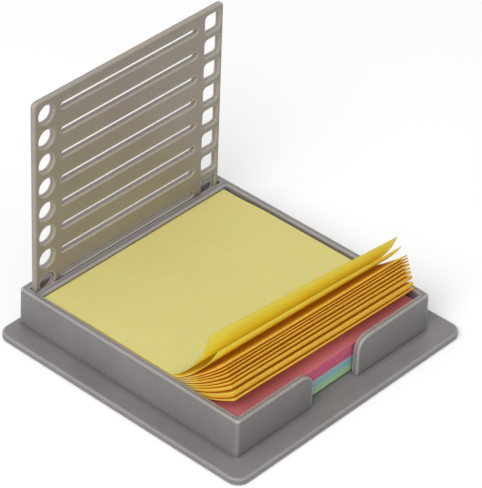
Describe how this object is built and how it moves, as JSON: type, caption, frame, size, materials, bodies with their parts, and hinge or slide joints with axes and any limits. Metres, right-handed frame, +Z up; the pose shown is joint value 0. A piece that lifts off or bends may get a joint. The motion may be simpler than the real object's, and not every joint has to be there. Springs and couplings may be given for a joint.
{
  "type": "sticky note dispenser",
  "caption": "Square desk tray for sticky notes with a finger notch, flat pads, a fanned top pad and an upright to-do stencil.",
  "frame": {"origin": "middle of the base plate's underside, which rests on the desk", "axes": "+Z up; -Y to the front, where the finger notch is; +X along the front wall; the stencil stands at +Y"},
  "size_m": [0.097, 0.0956, 0.0793],
  "materials": {
    "tray_plastic": "satin moulded plastic, warm grey",
    "stencil_plastic": "satin moulded plastic, warm grey",
    "green_paper": "uncoated coloured paper, cut edges",
    "blue_paper": "uncoated coloured paper, cut edges",
    "pink_paper": "uncoated coloured paper, cut edges",
    "yellow_paper": "uncoated coloured paper, cut edges"
  },
  "bodies": {
    "root": {"tray": "tray_plastic", "stencil": "stencil_plastic", "green_note_pad": "green_paper", "blue_note_pad": "blue_paper", "pink_note_pad": "pink_paper", "yellow_note_pad": "yellow_paper"}
  },
  "joints": []
}
